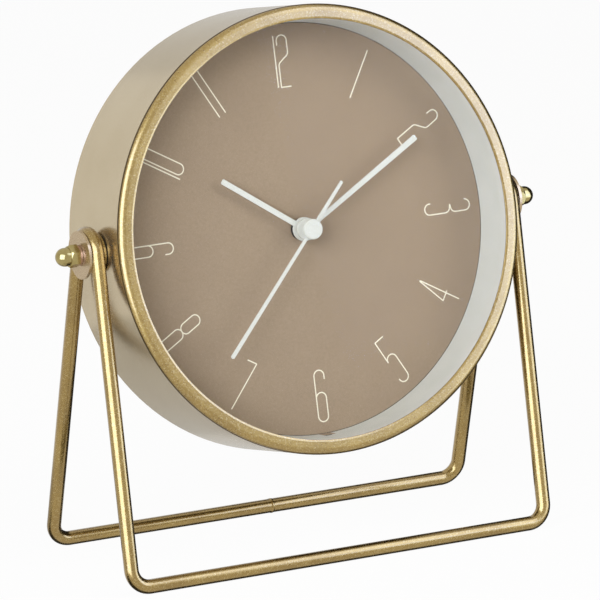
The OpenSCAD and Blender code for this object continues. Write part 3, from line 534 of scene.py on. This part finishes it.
# The drum's sheet is rolled in at the back.
HEM_R, HEM_BACK, HEM_ROUND = 75.75, 40.4, 0.7
HEM_W, HEM_H = 0.95, 1.6
HEM_ARC = [(math.sin(a), math.cos(a)) for a in QUARTER[::3]]
ring_piece(
    "rear_hem",
    [
        (HEM_R + HEM_W, HEM_BACK),
        *((HEM_R + HEM_ROUND * (1 - s), HEM_BACK - HEM_ROUND * (1 - c)) for s, c in HEM_ARC),
        (HEM_R, HEM_BACK - HEM_H),
        (HEM_R + HEM_W, HEM_BACK - HEM_H),
    ],
    champagne,
)


# ---- Small details of the dial's foot and the back ----
# Where the spacer ring is notched below the dial, its wall shows the dial's colour, and past it a short line of
# painted shade, where the notch's edge shades the wall. Both are thin patches on the wall.
NOTCH_W, PATCH_T = 4.7, 0.1
COLOUR_END, SHADE_END = 12.8, 11.5  # depths where the dial's colour and the painted shade end
SHADE_SHARE, SHADE_ASIDE = 0.55, -0.2  # the painted shade's width and offset, as shares of the notch's width
for name, near, far, wide, aside, material, slot in (
    ("notch_floor", COLOUR_END, DIAL_DEPTH, 1.0, 0.0, finish["dial_print"], "dial_print"),
    ("notch_painted_shade", SHADE_END, COLOUR_END, SHADE_SHARE, SHADE_ASIDE, black_abs, "black_plastic"),
):
    middle = (near + far) / 2
    patch = bmesh.new()
    bmesh.ops.create_cube(
        patch,
        size=1,
        matrix=Matrix.Rotation(math.radians(DIAL_TURN - 90), 4, "Z")
        @ Matrix.Translation(Vector((WALL_R + WALL_LEAN * (DIAL_DEPTH - middle), aside * NOTCH_W, -middle)))
        @ Matrix.Rotation(math.atan(WALL_LEAN), 4, "Y")
        @ Matrix.Diagonal((PATCH_T, wide * NOTCH_W, far - near, 1)),
    )
    case_piece(patch, name, material)

# A bent arrow round the setting knob, and plus and minus signs by the cell, moulded on the movement's back
MOVEMENT_BACK = 36.0
MARK_T = 0.6  # half of it stands out
KNOB = Vector((15.17, 1.33, 0))
ARROW_R, ARROW_STEPS = 7.2, 48
ARROW_FROM, ARROW_SWEEP = math.radians(-60), math.radians(240)
HEAD_R, HEAD_TOP_R, HEAD_AHEAD = 1.3, 1.2, 0.5
arrow = bmesh.new()
bmesh.ops.create_circle(
    arrow,
    cap_ends=True,
    segments=4,
    radius=MARK_T / math.sqrt(2),
    matrix=Matrix.Translation(KNOB)
    @ Matrix.Rotation(ARROW_FROM, 4, "Z")
    @ Matrix.Translation(Vector((ARROW_R, 0, -MOVEMENT_BACK)))
    @ Matrix.Rotation(math.pi / 2, 4, "X")
    @ Matrix.Rotation(math.pi / 4, 4, "Z"),
)
bmesh.ops.spin(
    arrow,
    geom=arrow.verts[:] + arrow.edges[:] + arrow.faces[:],
    cent=KNOB,
    axis=(0, 0, 1),
    angle=ARROW_SWEEP,
    steps=ARROW_STEPS,
)
bmesh.ops.create_cone(
    arrow,
    cap_ends=True,
    segments=3,
    radius1=HEAD_R,
    radius2=HEAD_TOP_R,
    depth=MARK_T,
    matrix=Matrix.Translation(KNOB)
    @ Matrix.Rotation(ARROW_FROM + ARROW_SWEEP, 4, "Z")
    @ Matrix.Translation(Vector((ARROW_R, HEAD_AHEAD, -MOVEMENT_BACK)))
    @ Matrix.Rotation(math.pi / 2, 4, "Z"),
)
bmesh.ops.recalc_face_normals(arrow, faces=arrow.faces[:])
case_piece(arrow, "knob_arrow", black_abs)

SIGN_L, SIGN_W = 3.0, 0.7
SIGN_X, SIGN_Y = 23.0, -8.4
for name, at, turns in (("plus_sign", SIGN_X, (0, 90)), ("minus_sign", -SIGN_X, (0,))):
    sign = bmesh.new()
    for turn in turns:
        bmesh.ops.create_cube(
            sign,
            size=1,
            matrix=Matrix.Translation(Vector((at, SIGN_Y, -MOVEMENT_BACK)))
            @ Matrix.Rotation(math.radians(turn), 4, "Z")
            @ Matrix.Diagonal((SIGN_L, SIGN_W, MARK_T, 1)),
        )
    case_piece(sign, name, black_abs)

# The cell's can shows as a bare steel band past the film at each end.
BAND_R, BAND_W, BAND_STEPS = 7.28, 0.8, 96
CELL_Y, CELL_DEPTH = -19.5, 28.25
for name, at in (("cell_plus_band", 24.75), ("cell_minus_band", -23.75)):
    band = bmesh.new()
    bmesh.ops.create_cone(
        band,
        segments=BAND_STEPS,
        radius1=BAND_R,
        radius2=BAND_R,
        depth=BAND_W,
        matrix=Matrix.Translation(Vector((at, CELL_Y, -CELL_DEPTH))) @ Matrix.Rotation(math.pi / 2, 4, "Y"),
    )
    case_piece(band, name, zinc)


# ---- The dial's numerals ----
# Each numeral is one pen line of even width. Its corners are (x, y) or (x, y, radius) in millimetres, from the
# middle of its own foot: x to its right, y up it.
STROKE_W = 0.45
INK_T = 0.03
DIGIT_H = 18.0
DIGIT_INNER_R = 49.5
HALF_W = 1.95
TIGHT = 0.15
ARC_STEP = math.radians(10)


def rounded(corners):
    """The corners as points, each with a radius turned into an arc."""
    line = []
    for i, (x, y, *size) in enumerate(corners):
        here = Vector((x, y))
        radius = size[0] if size else 0
        if not radius or i in (0, len(corners) - 1):
            line.append(here)
            continue
        before = (Vector(corners[i - 1][:2]) - here).normalized()
        after = (Vector(corners[i + 1][:2]) - here).normalized()
        half = before.angle(after) / 2
        middle = here + (before + after).normalized() * radius / math.sin(half)
        first = here + before * radius / math.tan(half) - middle
        sweep = first.angle_signed(here + after * radius / math.tan(half) - middle)
        steps = max(3, math.ceil(abs(sweep) / ARC_STEP))
        for k in range(steps + 1):
            line.append(middle + Matrix.Rotation(-sweep * k / steps, 2) @ first)
    return line


def round_box(low, high):
    """A closed pen line with round ends, from one height to another."""
    w, mid = HALF_W, (low + high) / 2
    return [(-w, mid), (-w, high, w), (w, high, w), (w, low, w), (-w, low, w), (-w, mid)]


w, top = HALF_W, DIGIT_H
ZERO = [round_box(0, top)]
ONE = [[(0, 0), (0, top)]]
TWO = [[(-w, 14.5), (-w, top, w), (w, top, w), (w, 11.2, 1.7), (-w, 8.2, 1.7), (-w, 0, TIGHT), (w, 0)]]
THREE = [
    [(-w, 16.0), (-w, top, w), (w, top, w), (w, 10.7, 1.8), (-1.0, 10.1)],
    [(-1.0, 10.1), (w, 9.6, 1.8), (w, 0, w), (-w, 0, w), (-w, 2.5)],
]
FOUR = [[(1.5, 0), (1.5, top, TIGHT), (-1.5, 5.7, TIGHT), (2.4, 5.7)]]
FIVE = [
    [(w, top), (-w, top, TIGHT), (-w, 9.2)],
    [(-w, 9.2), (-w, 11.2, w), (w, 11.2, w), (w, 0, w), (-w, 0, w), (-w, 2.2)],
]
SIX = [[(w, 14.7), (w, top, w), (-w, top, w), (-w, 0, w), (w, 0, w), (w, 10.2, w), (-w, 10.2, w), (-w, 8.2)]]
SEVEN = [[(-1.9, top), (1.9, top, TIGHT), (-1.2, 0)]]
EIGHT = [round_box(0, 9.8), round_box(9.8, top)]
NINE = [[(-x, top - y, *r) for x, y, *r in SIX[0]]]

ink = numeral_ink()


def numeral(hour, *digits):
    """One hour's digits, each with the place of its middle, drawn as thin raised ink on the dial.

    From 4 to 8 they stand on the rim."""
    inward = 4 <= hour <= 8
    curve = bpy.data.curves.new(f"numeral_{hour}", "CURVE")
    curve.dimensions = "3D"
    curve.bevel_depth = STROKE_W / 2
    curve.bevel_resolution = 3
    curve.use_fill_caps = True
    for shift, lines in digits:
        for line in map(rounded, lines):
            spline = curve.splines.new("POLY")
            spline.points.add(len(line) - 1)
            for point, (x, y) in zip(spline.points, line):
                point.co = (x + shift, y, 0, 1)
    holder = placed(curve.name, curve)
    bpy.context.view_layer.update()
    mesh = bpy.data.meshes.new_from_object(holder)
    bpy.data.objects.remove(holder)
    foot = -DIGIT_INNER_R - DIGIT_H if inward else DIGIT_INNER_R
    turn = math.radians(30 * hour + (180 if inward else 0) - DIAL_TURN)
    mesh.transform(
        CASE
        @ Matrix.Rotation(-turn, 4, "Z")
        @ Matrix.Translation(Vector((0, foot, -DIAL_DEPTH)))
        @ Matrix.Diagonal((1, 1, 2 * INK_T / STROKE_W, 1))
    )
    finished(mesh, f"numeral_{hour}", "case", ink)


numeral(1, (0.45, ONE))
numeral(2, (0.2, TWO))
numeral(3, (0.05, THREE))
numeral(4, (-0.25, FOUR))
numeral(5, (0.85, FIVE))
numeral(6, (0.45, SIX))
numeral(7, (0.15, SEVEN))
numeral(8, (-0.1, EIGHT))
numeral(9, (0.2, NINE))
numeral(10, (-2.0, ONE), (1.05, ZERO))
numeral(11, (-1.4, ONE), (1.4, ONE))
numeral(12, (-2.08, ONE), (1.05, TWO))


# ---- Floor, light and camera ----
def aimed(name, data, place, target):
    """A new lamp or card at a place, in metres, facing a target."""
    made = placed(name, data)
    place, target = Vector(place), Vector(target)
    facing = (target - place).to_track_quat("-Z", "Y").to_matrix().to_4x4()
    made.matrix_world = Matrix.Translation(place) @ facing
    return made


def lamp(name, place, target, width, height, watts, colour):
    """A soft rectangular lamp, which mirrors don't show: cards stand for it there."""
    data = bpy.data.lights.new(name, "AREA")
    data.shape = "RECTANGLE"
    data.size, data.size_y = width, height
    data.energy = watts
    data.color = colour
    made = aimed(name, data, place, target)
    made.visible_camera = made.visible_glossy = False


def card(name, place, target, width, height, strength, colour=(1, 1, 1)):
    """A studio card that only reflections see: a bright one draws a highlight, and a black one an edge."""
    shape = bmesh.new()
    bmesh.ops.create_grid(shape, x_segments=1, y_segments=1, size=0.5)
    bmesh.ops.scale(shape, vec=(width, height, 1), verts=shape.verts)
    mesh = mesh_of(shape, name)
    made = aimed(name, mesh, place, target)
    paint = bpy.data.materials.new(name)
    paint.use_nodes = True
    paint.cycles.emission_sampling = "NONE"
    tree = paint.node_tree
    tree.nodes.remove(tree.nodes["Principled BSDF"])
    light = add(tree, "ShaderNodeEmission", {"Color": (*colour, 1), "Strength": strength})
    give(tree, tree.nodes["Material Output"], {"Surface": light})
    mesh.materials.append(paint)
    made.visible_camera = made.visible_diffuse = made.visible_transmission = made.visible_shadow = False


# Each call gives a name, a place, a target, a width and a height in metres, then watts or strength, and a colour.
MIDDLE = (0, 0, 0.1)
WINDOW = (0.84, 1.0, 1.42)
WALL = (0.86, 1.0, 1.5)
SKY = (0.8, 1.0, 1.8)
lamp("soft_key", (-1.22, -0.83, 0.72), MIDDLE, 1.2, 0.9, 26, (0.97, 1.0, 1.04))
lamp("right_fill", (0.6, -0.54, 0.5), MIDDLE, 0.5, 0.7, 3.4, (1, 0.96, 0.88))
lamp("top_fill", (0.0, -0.7, 1.5), MIDDLE, 0.9, 0.9, 4, (1, 0.98, 0.93))
card("left_window_card", (-1.23, -0.83, 0.5), MIDDLE, 1.6, 1.5, 4.6, WINDOW)
card("right_window_card", (0.545, -0.585, 0.3), MIDDLE, 0.47, 0.29, 3.3, SKY)
card("right_wall_card", (0.415, -0.44, 0.56), MIDDLE, 0.47, 0.46, 2.9, WALL)
card("right_low_card", (0.5, -0.415, 0.06), MIDDLE, 0.34, 0.22, 3.2, WINDOW)
card("right_flag", (0.922, 0.3, -1.1), (0, 0, -1.1), 1.75, 4.8, 0.04)
card("back_wall", (0.458, 1.6, -0.2), (0, 0, -0.2), 0.9, 2.8, 0.72)
# These lie under the table and face up, and metal mirrors them through it: painted shade below the bars, and a patch
# of painted shade on the table left of the stand.
card("front_bar_shadow", (0, -0.028, -0.004), (0, -0.028, 0.1), 0.24, 0.014, 0.06)
card("rear_bar_shadow", (0, 0.036, -0.004), (0, 0.036, 0.1), 0.24, 0.014, 0.06)
card("left_table_shade", (-0.085, 0.105, -0.008), (-0.085, 0.105, 0.1), 0.15, 0.11, 0.6)


def background_rays(tree, glossy):
    """1 for the rays that see the background: from the camera, through glass and, with glossy, off metal."""
    rays = add(tree, "ShaderNodeLightPath").outputs
    ends = {0: rays["Is Camera Ray"], 1: rays["Is Transmission Ray"]}
    seen = add(tree, "ShaderNodeMath", ends, operation="MAXIMUM")
    if glossy:
        seen = add(tree, "ShaderNodeMath", {0: seen, 1: rays["Is Glossy Ray"]}, operation="MAXIMUM")
    return seen


FLOOR_HALF = 6.0
GLOW = 0.955  # the share of the floor's look that is its own white, which leaves room for the object's shadow
ground = bmesh.new()
bmesh.ops.create_grid(ground, x_segments=1, y_segments=1, size=FLOOR_HALF)
floor = placed("floor", mesh_of(ground, "floor"))
floor.visible_glossy = False  # metal shows the pale studio instead

white, tree, shader, _ = new_material("white_table")
give(tree, shader, {"Base Color": (0.82, 0.82, 0.82, 1), "Roughness": 0.6})
share = add(tree, "ShaderNodeMath", {0: background_rays(tree, True), 1: GLOW}, operation="MULTIPLY")
glow = add(tree, "ShaderNodeEmission", {"Color": (1, 1, 1, 1), "Strength": 1.0})
both = add(tree, "ShaderNodeMixShader", {0: share, 1: shader, 2: glow})
give(tree, tree.nodes["Material Output"], {"Surface": both})
floor.data.materials.append(white)

# The world is white behind the object, nearly so in reflections, and lights plain surfaces with a dim warm glow.
DIM, MIRRORED = 0.1, 0.9
WARM, WHITE = (1, 0.88, 0.7, 1), (1, 1, 1, 1)
world = bpy.data.worlds.new("studio")
bpy.context.scene.world = world
world.use_nodes = True
world.cycles.sampling_method = "NONE"
tree = world.node_tree
rays = add(tree, "ShaderNodeLightPath")
mirrored = {"Value": rays.outputs["Is Glossy Ray"], "To Min": DIM, "To Max": MIRRORED}
level = add(tree, "ShaderNodeMapRange", mirrored)
level = add(tree, "ShaderNodeMapRange", {"Value": background_rays(tree, False), "To Min": level, "To Max": 1.0})
warmth = add(tree, "ShaderNodeMix", {0: background_rays(tree, True), 6: WARM, 7: WHITE}, data_type="RGBA")
give(tree, tree.nodes["Background"], {"Color": warmth, "Strength": level})

# The camera solved from the photograph: angles in degrees, distance and shifts in case radii
AZIMUTH, ELEVATION, ROLL = math.radians(-28.21), math.radians(15.0), math.radians(-0.18)
DISTANCE = 24.92
SHIFT_X, SHIFT_Y = -0.004, 0.3325
PIXELS_PER_RADIUS = 223.73
SENSOR = 36.0
PICTURE = 600

away = Vector(
    (
        math.sin(AZIMUTH) * math.cos(ELEVATION),
        -math.cos(AZIMUTH) * math.cos(ELEVATION),
        math.sin(ELEVATION),
    )
)
flat_right = (-away).cross(Vector((0, 0, 1))).normalized()
flat_up = flat_right.cross(-away)
right = math.cos(ROLL) * flat_right + math.sin(ROLL) * flat_up
up = -math.sin(ROLL) * flat_right + math.cos(ROLL) * flat_up
radius = CASE_R * MM
place = Vector((0, 0, PIVOT_HEIGHT * MM)) + radius * (away * DISTANCE - right * SHIFT_X - up * SHIFT_Y)
camera = placed("camera", bpy.data.cameras.new("camera"))
camera.data.sensor_width = SENSOR
camera.data.lens = PIXELS_PER_RADIUS * DISTANCE / PICTURE * SENSOR
camera.data.clip_start = 0.05
camera.data.clip_end = 30
camera.matrix_world = Matrix.Translation(place) @ Matrix((right, up, away)).transposed().to_4x4()
bpy.context.scene.camera = camera
bpy.context.scene.view_settings.view_transform = "Standard"
